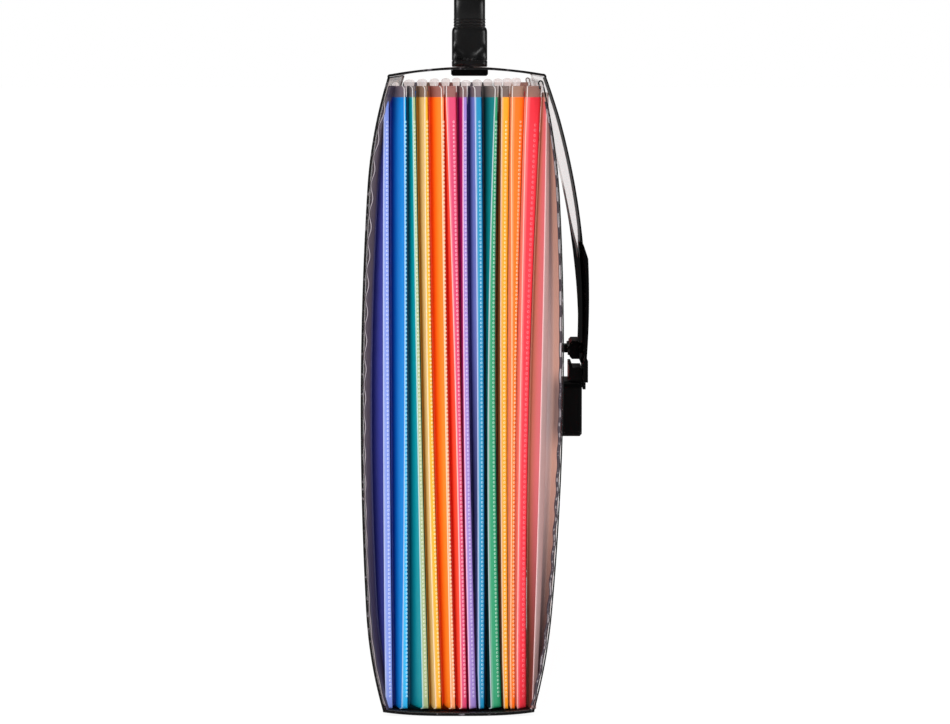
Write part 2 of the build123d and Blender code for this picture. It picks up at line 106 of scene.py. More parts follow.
FIRST_PLEAT_KEEP, LAST_PLEAT_BEND = 0.935, (14.5, 27.4)
PLEAT_GAP = 0.62
# Where U stands at the valley, before the fold, in it, after it and at the front panel
VALLEY_U, CREST_U, FOLD_U, FLANGE_U, WALL_U = 0.1, 0.69, (0.705, 0.72, 0.735), 0.75, 1.3
FLOOR_LEVEL, FLOOR_FOOT, FLOOR_RISE, FLOOR_INSET = 6.0, 3.0, 3.6, 1.2
FLOOR_ALONG = np.linspace(-150, 150, 13)
DIVIDER_FOOT, DIVIDER_HALF_LENGTH, DIVIDER_FLAT, DIVIDER_FILM = 3.2, 158.0, 0.8, 0.35
WELD_FOOT, WELD_TOP = 7.0, 230.5
# Step between weld spots, their radius and how pale their rings are
WELD_ROW, LAST_WELD_ROW = (1.55, 0.52, 0.65), (2.0, 0.62, 0.3)
TAB_LEG, TAB_HALF_WIDTH, TAB_ROUND, TAB_RISE = 0.45, 1.9, 1.2, 1.0
BACK_SEAM_RADII, FRONT_SEAM_RADII = (0.38, 0.38), (0.62, 0.34)

# Handle
HANDLE_X, LUG_Y = 2.5, 62.0
LUG_FOOT, LUG_TOP, LUG_WIDTH, LUG_THICK, LUG_FLANGE = 251.25, 267.4, 14.5, 11.0, 35.0
LUG_FLANGE_HEIGHT, LUG_SWEEP, LUG_DRAFT, LUG_ROUND = 2.6, (0.8, 9.0), 0.06, 2.4
GRIP_TOP, GRIP_WIDTH, GRIP_THICK, FLEX_RISE = 291.2, 12.8, 7.0, 5.4
FLEX_LEVELS, FLEX_SPREAD, FLEX_SWELL, ARCH_POWER = (0.8, 2.0, 3.2), 0.2, 0.035, 0.625
LEG_WIDTH, LEG_THICK, LEG_DEPTH = 9.0, 4.0, 9.0
EDGE_ROUND = 0.25

# Studio, in metres
FOLDER_MIDDLE = 0, 0, 0.13
CAMERA_PLACE, CAMERA_AIM, LENS = (0.0027, -1.615, 0.252), (0.0046, -0.165, 0.1379), 143.0
FLOOR_RINGS, FLOOR_DROP = (0.001, 1.0, 4.0, 12.0, 40.0), 0.0003


def srgb(red, green, blue):
    """A colour written as 0 to 255 screen values, as the linear values a shader takes."""
    part = np.array([red, green, blue]) / 255.0
    linear = np.where(part <= 0.04045, part / 12.92, ((part + 0.055) / 1.055) ** 2.4)
    return (*linear.tolist(), 1.0)


class Wire:
    """A node's output in a finish; arithmetic on it adds Math nodes."""

    def __init__(self, finish, socket):
        self.finish, self.socket = finish, socket

    def _math(self, operation, first, second=0.0):
        return self.finish.node("Math", {"operation": operation}, {0: first, 1: second})

    def __add__(self, other):
        return self._math("ADD", self, other)

    def __radd__(self, other):
        return self._math("ADD", other, self)

    def __sub__(self, other):
        return self._math("SUBTRACT", self, other)

    def __rsub__(self, other):
        return self._math("SUBTRACT", other, self)

    def __mul__(self, other):
        return self._math("MULTIPLY", self, other)

    def __rmul__(self, other):
        return self._math("MULTIPLY", other, self)

    def __abs__(self):
        return self._math("ABSOLUTE", self)

    def wave(self, length):
        """A sine between 0 and 1 that repeats over a length."""
        return 0.5 + 0.5 * self._math("SINE", self * (2 * np.pi / length))

    def ease(self, low, high):
        """0 below low, 1 above high and a smooth step between."""
        return self.finish.node(
            "MapRange", {"interpolation_type": "SMOOTHSTEP"},
            {"Value": self, "From Min": low, "From Max": high},
        )


class Finish:
    """A material, or a world, made of nodes; node() adds one and gives its output as a wire."""

    def __init__(self, name, owner=None):
        self.material = owner or bpy.data.materials.new(name)
        self.material.use_nodes = True
        self.tree = self.material.node_tree
        self.tree.nodes.clear()

    def node(self, kind, settings=None, inputs=None, output=0):
        made = self.tree.nodes.new("ShaderNode" + kind)
        for name, value in (settings or {}).items():
            setattr(made, name, value)
        for name, value in (inputs or {}).items():
            if isinstance(value, Wire):
                self.tree.links.new(value.socket, made.inputs[name])
            else:
                made.inputs[name].default_value = value
        return Wire(self, made.outputs[output]) if made.outputs else None

    def place(self):
        return self.node("TexCoord", output="Object")

    def axis(self, letter):
        return self.node("SeparateXYZ", inputs={0: self.place()}, output=letter)

    def along(self, letter):
        uv = self.node("UVMap", {"uv_map": "surface"})
        return self.node("SeparateXYZ", inputs={0: uv}, output=letter)

    def noise(self, scale, detail=2.0, stretch=(1.0, 1.0, 1.0)):
        place = self.node("Mapping", inputs={"Vector": self.place(), "Scale": stretch})
        return self.node("TexNoise", inputs={"Vector": place, "Scale": scale, "Detail": detail})

    def mix(self, share, first, second):
        return self.node("Mix", {"data_type": "RGBA"}, {0: share, 6: first, 7: second}, output=2)

    def bump(self, height, strength, distance):
        return self.node("Bump", inputs={"Height": height, "Strength": strength, "Distance": distance})

    def seen(self):
        """1 for what the camera sees straight or through a clear sheet, else 0."""
        camera_ray = self.node("LightPath", output="Is Camera Ray")
        return camera_ray + self.node("LightPath", output="Is Transmission Ray")

    def surface(self, **inputs):
        """Closes the finish with a Principled surface; inputs are its sockets with _ for a space."""
        named = {name.replace("_", " "): value for name, value in inputs.items()}
        shade = self.node("BsdfPrincipled", inputs=named)
        self.node("OutputMaterial", inputs={"Surface": shade})
        return self.material


def smoky_film(name, cover):
    """Smoke-tinted polypropylene sheet: see-through as its cover allows, grained, a little mottled."""
    made = Finish(name)
    mottle = made.noise(60.0)
    tint = made.mix(mottle, srgb(140, 102, 94), srgb(156, 118, 108))
    grain = made.noise(2600.0, 1.0)
    return made.surface(
        Base_Color=tint, Roughness=0.2 + 0.14 * mottle, Alpha=cover, IOR=1.49,
        Normal=made.bump(grain, 0.05, 0.0001),
    )


def flap_film():
    """The flap's sheet: pale smoke, dark behind the latch, with a painted dark reflection along both
    slanting edges.

    The UV map's V is the distance from the nearer edge in tenths of a metre, with more added where the
    painted dark border is slim and pale.
    """
    made = Finish("flap_film")
    mottle = made.noise(60.0)
    low = 1 - made.axis("Z").ease(0.163, 0.188)
    # The dark border along the slanting edges is a painted dark reflection; low spreads the dark over the
    # lower flap behind the latch.
    inward = made.along("Y") - 0.6 * low
    clear = inward.ease(0.22, 0.36)
    tint = made.mix(mottle, srgb(226, 210, 202), srgb(242, 232, 226))
    tint = made.mix(clear, srgb(8, 6, 6), tint)
    return made.surface(
        Base_Color=tint, Roughness=0.22 + 0.12 * mottle, Alpha=0.92 - 0.78 * clear, IOR=1.49,
        Specular_IOR_Level=0.0,
    )


def base_film():
    """The bottom's sheet: near black, much darker than the walls' smoky film, glossy enough to mirror the
    pleats' feet.
    """
    made = Finish("base_film")
    mottle = made.noise(80.0)
    tint = made.mix(mottle, srgb(13, 11, 12), srgb(30, 26, 27))
    return made.surface(Base_Color=tint, Roughness=0.1 + 0.14 * mottle, IOR=1.49)


def cut_edge():
    """The sheet's cut rim: black with pale nicks along the near end, partly the tinted film's own dark edge
    and partly a painted dark reflection, and a paler smoke at the far one.
    """
    made = Finish("cut_edge")
    nicks = made.noise(420.0, 4.0).ease(0.58, 0.7)
    tone = made.mix(nicks, srgb(9, 8, 9), srgb(112, 106, 112))
    tone = made.mix(made.axis("Y").ease(-0.05, 0.1), tone, srgb(150, 138, 134))
    return made.surface(Base_Color=tone, Roughness=0.34 + 0.2 * nicks, Specular_IOR_Level=0.2)


def seam_film(name, dashed, dark, pale):
    """The gusset film's welded border on a case wall: dark, with a thin pale line along its outer side,
    which is a painted highlight.

    The UV map's U goes round the bead. Where dashed is 1 the line is broken into dashes, and into specks
    on the lower half.
    """
    made = Finish(name)
    height = made.axis("Z")
    upper = height.ease(0.122, 0.138)
    dash = height.wave(0.01).ease(0.38, 0.5)
    speck = made.noise(520.0, 3.0).ease(0.5, 0.58)
    mark = 1 - dashed * (1 - upper * dash - 0.6 * (1 - upper) * speck)
    # Painted highlight: a thin pale line on the side of the bead that faces the folder's end.
    line = 1 - abs(made.along("X") - 0.5).ease(0.05, 0.12)
    tone = made.mix(line * mark, dark, pale)
    return made.surface(Base_Color=tone, Roughness=0.3 + 0.1 * line, Specular_IOR_Level=0.2)


def pleat_film(name, deep, bright, crest, weld, low, level):
    """Clear film over a coloured sheet: painted shade in the valley, a painted highlight at the fold,
    coloured on the flange.

    The UV map's U runs from the valley over the crest to the flange's end, and on past 1 where the last
    pleat meets the front panel. Panels darken in painted shade by low under a level, and the wall part
    beside the front panel takes a painted shadow of the latch. Above the coloured sheet's top edge only the
    smoky clear film is left, with the same painted valley shade and fold highlight. A little of the colour
    glows, painted light that stands in for light coming through the sheets.
    """
    made = Finish(name)
    across, height = made.along("X"), made.axis("Z")
    streak = made.noise(110.0, 2.0, (1.0, 1.0, 0.04))
    # Painted shade low in the folder: panels darken by low below the level.
    painted_low_shade = low * (1 - height.ease((level - 45) * MM, (level + 45) * MM))
    # Painted shade and light across each panel: from the dark valley colour to the lit colour near the
    # crest.
    panel = made.mix(across.ease(0.1, 0.72) * (0.8 + 0.36 * streak), deep, bright)
    panel = made.mix(painted_low_shade, panel, tuple(0.2 * c for c in deep[:3]) + (1.0,))
    smoke = made.mix(streak, srgb(70, 60, 66), srgb(106, 94, 100))
    smoke = made.mix(2.2 * painted_low_shade, smoke, srgb(36, 34, 70))
    panel = made.mix(1 - across.ease(0.06, 0.105), panel, smoke)
    flange = made.mix(0.75 + 0.25 * across.ease(0.77, 0.82), crest, weld)
    tone = made.mix(across.ease(0.735, 0.75), panel, flange)
    # Painted highlight: the pale crest colour laid along the fold.
    fold = across.ease(0.684, 0.694) * (1 - across.ease(0.732, 0.742))
    tone = made.mix(fold * 0.9, tone, crest)
    beside = made.mix(height.ease(0.13, 0.2), srgb(194, 172, 172), srgb(122, 108, 114))
    wall = made.mix(across.ease(1.04, 1.16) * (0.75 + 0.4 * streak), beside, srgb(190, 142, 126))
    # A painted shadow of the latch base: a soft dark patch on the wall part, about 100 to 136 mm up.
    latch = height.ease(0.1, 0.114) * (1 - height.ease(0.126, 0.136)) * across.ease(1.06, 1.2)
    wall = made.mix(0.7 * latch, wall, srgb(62, 56, 62))
    # Painted shade low in the folder on the wall part as well.
    wall = made.mix(painted_low_shade, wall, srgb(62, 40, 44))
    tone = made.mix(across.ease(1.0, 1.02), tone, wall)
    over = height.ease((COLOUR_TOP - 0.25) * MM, (COLOUR_TOP + 0.25) * MM)
    # Painted shade across the clear film as well: darker at the valley, lighter towards the crest, and a
    # painted highlight on the fold.
    clear = made.mix(across.ease(0.15, 0.7), srgb(74, 64, 62), srgb(128, 112, 106))
    clear = made.mix(0.22, clear, deep)
    clear = made.mix(fold * 0.85, clear, srgb(232, 226, 224))
    tone = made.mix(over, tone, clear)
    return made.surface(
        Base_Color=tone, Roughness=0.26 + 0.12 * streak, Alpha=1 - 0.14 * over, Coat_Weight=0.06, IOR=1.49,
        Emission_Color=tone, Emission_Strength=0.2,
    )


def weld_dot(name, tone, centre):
    """A weld spot pressed into the film: a pale raised ring round a sunk middle. It glows a little, painted
    light as on the pleats.
    """
    made = Finish(name)
    ring = made.along("Y").ease(0.25, 0.7)
    tone = made.mix(ring, centre, tone)
    return made.surface(
        Base_Color=tone, Roughness=0.28 + 0.1 * ring, Emission_Color=tone, Emission_Strength=0.2,
    )


def divider_film(name, tone):
    """A coloured polypropylene divider with a fine grain."""
    made = Finish(name)
    cloud = made.noise(40.0)
    shade = made.mix(cloud, tuple(0.82 * c for c in tone[:3]) + (1.0,), tone)
    grain = made.noise(2200.0, 1.0)
    return made.surface(
        Base_Color=shade, Roughness=0.3 + 0.12 * cloud, Normal=made.bump(grain, 0.15, 0.0002),
    )


def tab_film():
    """Clear index tab: nearly colourless, glossier than the case, with a painted glow that lifts it out of
    the shade under the lid.
    """
    made = Finish("tab_film")
    cloud = made.noise(70.0)
    tint = made.mix(cloud, srgb(228, 218, 216), srgb(244, 238, 236))
    return made.surface(
        Base_Color=tint, Roughness=0.4 + 0.1 * cloud, Alpha=0.5, IOR=1.49, Specular_IOR_Level=0.1,
        Emission_Color=tint, Emission_Strength=0.4,
    )


def black_moulding(name, roughness, level):
    """Black moulded plastic with a fine spark-eroded grain and faint flow marks."""
    made = Finish(name)
    flow = made.noise(35.0, 3.0, (1.0, 1.0, 0.35))
    grain = made.noise(3000.0, 1.0)
    tone = made.mix(flow, srgb(2, 2, 2), srgb(7, 7, 8))
    return made.surface(
        Base_Color=tone, Roughness=roughness + 0.12 * flow, Specular_IOR_Level=level,
        Normal=made.bump(grain, 0.1, 0.0001),
    )


def rivet_black():
    """Black enamelled rivet, worn a little on its crown."""
    made = Finish("rivet_black")
    wear = made.noise(500.0, 4.0).ease(0.56, 0.7)
    tone = made.mix(wear, srgb(9, 9, 10), srgb(48, 48, 50))
    return made.surface(Base_Color=tone, Roughness=0.3 + 0.15 * wear, Specular_IOR_Level=0.3)


def circle_points(centre, radius, first, last, count):
    """Points on a circle at even angles, the short way from one (X, Z) point to another."""
    turns = np.unwrap([np.arctan2(*(np.array(p) - centre)[::-1]) for p in (first, last)])
    angle = np.linspace(*turns, count)
    return centre + radius * np.stack([np.cos(angle), np.sin(angle)], -1)


def arc_points(first, through, last, count):
    """Points on the circle through three (X, Z) points.

    The centre solves two equations, each saying that it is as far from one point as from the next.
    """
    a, b, c = (np.array(p, float) for p in (first, through, last))
    centre = np.linalg.solve(2 * np.array([b - a, c - b]), np.array([b @ b - a @ a, c @ c - b @ b]))
    return circle_points(centre, np.hypot(*(a - centre)), a, c, count)


def tangent_arc(start, heading, end, count):
    """Points on the circle that leaves start along a heading and passes through end.

    Its centre is on the normal at start, as far off as makes both points equally distant from it.
    """
    start, end = np.array(start, float), np.array(end, float)
    normal = np.array([-heading[1], heading[0]]) / np.hypot(*heading)
    chord = end - start
    reach = chord @ chord / (2 * normal @ chord)
    return circle_points(start + reach * normal, abs(reach), start, end, count)


def skin_path(foot, low, belly, high, top):
    """A panel's bow: a nearly flat belly arc that runs into tighter arcs at its foot and shoulder."""
    middle = arc_points(low, belly, high, 40)
    under = tangent_arc(low, middle[0] - middle[1], foot, 20)[::-1]
    over = tangent_arc(high, middle[-1] - middle[-2], top, 20)
    return np.concatenate([under[:-1], middle, over[1:]])


BACK_PATH, FRONT_PATH = skin_path(*BACK_SKIN), skin_path(*FRONT_SKIN)


def path_x(path, height):
    """X on a panel's skin at given heights."""
    return np.interp(height, path[:, 1], path[:, 0])


def bowed(values, height):
    """The parabola through three values at the pleat heights, at any height."""
    return np.polyval(np.polyfit(PLEAT_HEIGHTS, values, 2), height)


def extruded(path, depth):
    """A sheet: each (X, Z) point of a path carried along Y through the depths."""
    grid = np.empty((len(path), len(depth), 3))
    grid[..., 0], grid[..., 2] = path[:, None, 0], path[:, None, 1]
    grid[..., 1] = depth[None, :]
    return grid


def rounded_box(half_x, half_y, power, count):
    """A box section with rounded corners, as a superellipse: cosine and sine to a power, signs kept."""
    turn = np.linspace(0, 2 * np.pi, count + 1)[:-1]
    x, y = np.cos(turn), np.sin(turn)
    return np.stack([half_x * np.sign(x) * np.abs(x) ** power, half_y * np.sign(y) * np.abs(y) ** power], -1)


def grid_faces(rows, columns, first, wrap):
    """Quads of a rows by columns grid of vertices from index first on; wrap joins last row to first."""
    index = first + np.arange(rows * columns).reshape(rows, columns)
    if wrap:
        index = np.concatenate([index, index[:1]])
    quads = np.stack([index[:-1, :-1], index[1:, :-1], index[1:, 1:], index[:-1, 1:]], -1)
    return quads.reshape(-1, 4)


def piece(name, grids, body, finishes, wrap=False, capped=False, uv=None, thick=0.0):
    """A mesh of one or more point grids, in metres, riding on a body.

    uv gives one array of (u, v) per grid, else the grid's own rows and columns from 0 to 1. capped closes
    the first and last column of a wrapped grid. thick adds a wall, on the side that the faces look to if it
    is positive, and the wall's rim takes the second finish.
    """
    points, quads, caps, layers = [], [], [], []
    first = 0
    for number, grid in enumerate(grids):
        rows, columns = grid.shape[:2]
        quads.append(grid_faces(rows, columns, first, wrap))
        if capped:
            ring = first + np.arange(rows) * columns
            caps += [ring.tolist(), (ring[::-1] + columns - 1).tolist()]
        u, v = np.meshgrid(np.linspace(0, 1, rows), np.linspace(0, 1, columns), indexing="ij")
        layers.append(np.stack([u, v], -1).reshape(-1, 2) if uv is None else uv[number].reshape(-1, 2))
        points.append(grid.reshape(-1, 3))
        first += rows * columns
    mesh = bpy.data.meshes.new(name)
    mesh.from_pydata((np.concatenate(points) * MM).tolist(), [], np.concatenate(quads).tolist() + caps)
    corner = np.empty(len(mesh.loops), int)
    mesh.loops.foreach_get("vertex_index", corner)
    mesh.uv_layers.new(name="surface").data.foreach_set("uv", np.concatenate(layers)[corner].ravel())
    mesh.polygons.foreach_set("use_smooth", np.ones(len(mesh.polygons), bool))
    made = bpy.data.objects.new(name, mesh)
    bpy.context.scene.collection.objects.link(made)
    for finish in finishes:
        mesh.materials.append(finish)
    if thick:
        wall = made.modifiers.new("wall", "SOLIDIFY")
        wall.thickness, wall.offset = abs(thick) * MM, np.sign(thick)
        wall.material_offset_rim = len(finishes) - 1
        wall.use_even_offset = False
    if body:
        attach(made, body)
    return made


SMOKY, THIN_SMOKY = smoky_film("smoky_film", 0.52), smoky_film("thin_smoky_film", 0.18)
FLAP, BASE, EDGE = flap_film(), base_film(), cut_edge()
TAB, RIVET = tab_film(), rivet_black()
BLACK = black_moulding("black_moulding", 0.3, 0.06)
GLOSS_BLACK = black_moulding("gloss_black_moulding", 0.22, 0.5)
BACK_LINE = seam_film("back_seam_film", 0.0, srgb(34, 28, 36), srgb(170, 160, 168))
FRONT_LINE = seam_film("front_seam_film", 0.92, srgb(58, 48, 58), srgb(186, 176, 180))
LENGTHWISE = np.linspace(-END, END, 25)


def back_sheet():
    """The bowed back panel: three arcs in the end view, carried along the folder."""
    made = piece("back_sheet", [extruded(BACK_PATH, LENGTHWISE)], "case", [SMOKY, EDGE], thick=-SHEET)
    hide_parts("back_panel")


def bottom_sheet():
    """The bottom panel: a shallow sag, the cube of the distance across, between two turned-up rims."""
    across = np.linspace(-1, 1, 33)
    left, right = BOTTOM_WIDTH
    path = np.stack([np.interp(across, (-1, 1), BOTTOM_WIDTH), BOTTOM_SAG * np.abs(across) ** 3], -1)
    path = np.concatenate([[(left - 0.1, BOTTOM_SAG + 0.6)], path, [(right + 0.1, BOTTOM_SAG + 0.6)]])
    made = piece("bottom_sheet", [extruded(path, LENGTHWISE)], "case", [BASE, EDGE], thick=SHEET)
    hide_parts("bottom_panel")
    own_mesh(made)


def front_sheet():
    """The bowed front panel: three arcs up to a hem, which rolls inwards half a turn and hangs down."""
    lean = np.arctan2(*(FRONT_PATH[-1] - FRONT_PATH[-2])[::-1])
    centre = FRONT_PATH[-1] + HEM_RADIUS * np.array([-np.sin(lean), np.cos(lean)])
    turn = lean - np.pi / 2 + np.linspace(0, np.pi, 13)[1:]
    roll = centre + HEM_RADIUS * np.stack([np.cos(turn), np.sin(turn)], -1)
    drop = roll[-1] - HEM_DROP * np.array([[np.cos(lean), np.sin(lean)]])
    path = np.concatenate([FRONT_PATH, roll, drop])
    made = piece("front_sheet", [extruded(path, LENGTHWISE)], "front", [THIN_SMOKY, EDGE], thick=FRONT_SHEET)
    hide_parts("front_panel")


def lid_sheet():
    """The lid: a shallow arc in the end view, carried along the folder."""
    path = arc_points(*LID_ARC, 40)
    made = piece("lid_sheet", [extruded(path, LENGTHWISE)], "lid", [THIN_SMOKY, EDGE], thick=-SHEET)
    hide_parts("lid_panel")


def flap_sheet():
    """The tapered flap: two arcs down the front in the end view, as wide at each height as its outline.

    The half width runs straight between the outline's points, less a quarter round at the tip's corners.
    """
    upper = arc_points(*FLAP_CURVE[:3], 60)
    lower = tangent_arc(FLAP_CURVE[2], upper[-1] - upper[-2], FLAP_CURVE[3], 40)
    path = np.concatenate([upper, lower[1:]])
    short = np.clip(FLAP_CORNER - (path[:, 1] - FLAP_CURVE[3][1]), 0, FLAP_CORNER)
    half = np.interp(path[:, 1], *FLAP_HALF_WIDTHS) - FLAP_CORNER + np.sqrt(FLAP_CORNER**2 - short**2)
    across = np.linspace(-1, 1, 31)
    grid = np.empty((len(path), len(across), 3))
    grid[..., 0], grid[..., 2] = path[:, None, 0], path[:, None, 1]
    grid[..., 1] = half[:, None] * across
    # Along the far edge the painted dark border slims and pales from the first far level to the second.
    far = np.interp(path[:, None, 1], FLAP_FAR_LEVELS, (0, 1)) * (across > 0)
    inward = (1 + FLAP_FAR_SLIM * far) * half[:, None] * (1 - np.abs(across)) / 100 + FLAP_FAR_PALE * far
    made = piece("flap_sheet", [grid], "flap", [FLAP], thick=-SHEET,
                 uv=[np.stack([0 * inward, inward], -1)])
    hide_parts("lid_flap")


def crease(name, first, last, bulge):
    """A living hinge: a short bowed strip of the sheet between two panels, along the folder."""
    middle = (np.array(first) + np.array(last)) / 2 + bulge
    path = arc_points(first, middle, last, 9)
    made = piece(name, [extruded(path, LENGTHWISE)], None, [THIN_SMOKY, EDGE], thick=-SHEET)
    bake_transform(made)


# Each pocket's shades: valley in painted shade, panel towards the crest in painted light, crest fold as a
# painted highlight and weld flange, then how far its panel darkens in painted shade and below what height
PALETTE = [
    ("violet", (24, 28, 100), (60, 66, 156), (196, 208, 246), (128, 148, 222), 0.3, 90),
    ("blue", (0, 34, 124), (0, 130, 212), (168, 206, 236), (40, 178, 236), 0.1, 60),
    ("teal", (0, 72, 96), (0, 150, 160), (196, 224, 218), (164, 184, 136), 0.1, 60),
    ("gold", (170, 110, 16), (232, 190, 120), (246, 222, 190), (250, 178, 44), 0.1, 60),
    ("orange", (226, 66, 0), (255, 132, 30), (255, 214, 184), (252, 166, 110), 0.1, 60),
    ("red", (214, 26, 0), (255, 84, 60), (255, 196, 194), (222, 70, 112), 0.1, 60),
    ("magenta", (116, 0, 64), (160, 24, 100), (246, 204, 236), (158, 128, 200), 0.2, 60),
    ("indigo", (36, 30, 104), (104, 118, 188), (190, 208, 236), (20, 140, 188), 0.75, 120),
    ("dark_teal", (0, 34, 48), (0, 122, 124), (192, 212, 212), (40, 156, 110), 0.92, 130),
    ("brown", (66, 30, 6), (124, 66, 22), (236, 202, 172), (252, 164, 32), 0.1, 60),
    ("peach", (250, 172, 124), (242, 128, 74), (252, 200, 160), (255, 118, 18), 0.1, 60),
    ("coral", (244, 150, 122), (238, 122, 112), (246, 186, 180), (242, 52, 68), 0.1, 60),
    ("clear", (186, 112, 90), (204, 100, 108), (236, 204, 204), (176, 144, 142), 0.95, 60),
]
SHEETS = {
    "violet_film": (58, 60, 150), "blue_film": (0, 104, 200), "green_film": (0, 140, 124),
    "yellow_film": (250, 186, 30), "orange_film": (252, 112, 20), "red_film": (226, 30, 44),
}
SHEET_FINISHES = {slot: divider_film(slot, srgb(*tone)) for slot, tone in SHEETS.items()}


def leaf_x(number):
    """X of a divider's middle, by its number from the back."""
    return FIRST_DIVIDER + PITCH * (number - 1)


def flange_y(number, height):
    """Y of a flange's end: it turns back from the crest at about 30 degrees."""
    return CREST_Y + 0.3 + 0.55 * (bowed(FLANGE_ENDS[number], height) - bowed(CRESTS[number], height))


def pleat(number, height):
    """Plan of one end pleat at each height, with its own U: wall side, valley, panel, crest fold, flange.

    The panel runs straight from valley to crest with a sine bulge, the crest is rounded over the last half
    millimetre, and towards the top and foot the fold is drawn in along a quarter circle.
    """
    crest, end = bowed(CRESTS[number], height), bowed(FLANGE_ENDS[number], height)
    wall = bowed(FLANGE_ENDS[number - 1], height) if number else path_x(BACK_PATH, height) + SHEET
    wall = wall + PLEAT_GAP
    wall_y = ENTRY_Y if number else WALL_Y
    valley = wall + (0.25 if number else 2.6)
    near_top = np.clip((height - PLEAT_TOP + PLEAT_TOP_ROUND) / PLEAT_TOP_ROUND, 0, 1)
    near_foot = np.clip((PLEAT_FOOT + PLEAT_FOOT_ROUND - height) / PLEAT_FOOT_ROUND, 0, 1)
    drawn = 1 - np.sqrt(1 - 0.98 * np.maximum(near_top, near_foot) ** 2)
    crest_y = CREST_Y + 1.2 * drawn
    crest = np.maximum(crest - 0.9 * drawn, wall + 0.5)
    t = np.linspace(0, 1, 18)[:, None]
    panel_x = valley + (crest - 0.15 - valley) * t - 0.35 * np.sin(np.pi * t)
    panel_y = VALLEY_Y + (crest_y + 0.5 - VALLEY_Y) * t
    e = np.linspace(0, 1, 4)[:-1, None]
    entry_x = wall + (valley - wall) * e
    entry_y = wall_y + (VALLEY_Y - wall_y) * e + 0 * crest
    fold_x = crest + np.array([-0.02, 0.1, 0.2])[:, None]
    fold_y = crest_y + np.array([0.06, 0.0, 0.12])[:, None]
    s = np.linspace(0, 1, 8)[1:, None]
    flange_x = fold_x[-1] + (np.maximum(end, fold_x[-1] + 0.3) - fold_x[-1]) * s
    back_y = fold_y[-1] + (flange_y(number, height) - fold_y[-1]) * s
    x = np.concatenate([entry_x, panel_x, fold_x, flange_x])
    y = np.concatenate([entry_y, panel_y, fold_y, back_y])
    entry_u = np.linspace(VALLEY_U if number else 0, VALLEY_U, 4)[:-1]
    panel_u, flange_u = np.linspace(VALLEY_U, CREST_U, 18), np.linspace(FLANGE_U, 1, 8)[1:]
    u = np.concatenate([entry_u, panel_u, FOLD_U, flange_u])
    if number == LAST_POCKET:
        front = path_x(FRONT_PATH, height) - FRONT_SHEET - 0.5
        w = np.linspace(0, 1, 12)[1:, None]
        x = np.concatenate([x, x[-1] + (front - x[-1]) * w])
        y = np.concatenate([y, y[-1] + (WALL_Y - y[-1]) * w + 3.5 * np.sin(np.pi * w)])
        u = np.concatenate([u, np.linspace(1, WALL_U, 12)[1:]])
    return x, y, u


def gusset(number):
    """Both end pleats of one pocket, each a plan curve carried up the folder, and the pleat underneath."""
    foot_rows, top_rows = np.linspace(0, 0.03, 9)[:-1], np.linspace(0.97, 1, 11)[1:]
    tall = np.concatenate([foot_rows, np.linspace(0.03, 0.97, 60), top_rows])
    top = PLEAT_TOP if number < LAST_POCKET else LAST_PLEAT_TOP
    height = PLEAT_FOOT + (top - PLEAT_FOOT) * tall
    x, y, u = pleat(number, height)
    depth = np.clip((y - CREST_Y) / (VALLEY_Y - CREST_Y), 0, 1)
    z = height + (VALLEY_FOOT - PLEAT_FOOT) * depth * (1 - tall) ** 8
    near = np.stack([x, y, z], -1)
    far = near * (1, -1, 1)
    uv = np.stack([u[:, None] + 0 * x, tall + 0 * x], -1)
    left = bowed(FLANGE_ENDS[number - 1], FLOOR_LEVEL) + 0.6 if number else BOTTOM_WIDTH[0] + FLOOR_INSET
    right = BOTTOM_WIDTH[1] - FLOOR_INSET
    if number < LAST_POCKET:
        right = bowed(FLANGE_ENDS[number], FLOOR_LEVEL)
    across = np.linspace(0, 1, 13)
    floor = np.stack([left + (right - left) * across, FLOOR_FOOT + FLOOR_RISE * np.sin(np.pi * across)], -1)
    floor = extruded(floor, FLOOR_ALONG)
    floor_uv = np.stack(np.broadcast_arrays((0.2 + 0.4 * across)[:, None], 0 * FLOOR_ALONG), -1)
    name, *shades, painted_low_shade, level = PALETTE[number]
    finish = pleat_film(f"pleat_{name}", *[srgb(*shade) for shade in shades], painted_low_shade, level)
    made = piece(f"gusset_sheet_{number + 1:02d}", [near, far[::-1], floor], None, [finish],
                 uv=[uv, uv[::-1], floor_uv], thick=-PLEAT_FILM)
    hold_gusset(made, number)
    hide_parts(f"gusset_{number + 1:02d}")


def hold_gusset(made, number):
    """A pleat rides with what is behind it: the case for the first, the divider behind it for the others;
    the last stays where it is, on no body.
    """
    if number == LAST_POCKET:
        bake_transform(made)
        return
    body, anchor, keep = "case", BACK_SKIN[2][0] + SHEET, FIRST_PLEAT_KEEP
    if number:
        body, anchor, keep = f"leaf_{number:02d}", leaf_x(number), CLOSED_PITCH / PITCH
    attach(made, body)
    anchor * MM
    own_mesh(made)


# How far across each flange its weld spots sit
WELD_SHARES = 0.68, 0.88, 0.6, 0.86, 0.86, 0.7, 0.62, 0.66, 0.74, 0.6, 0.8, 0.7


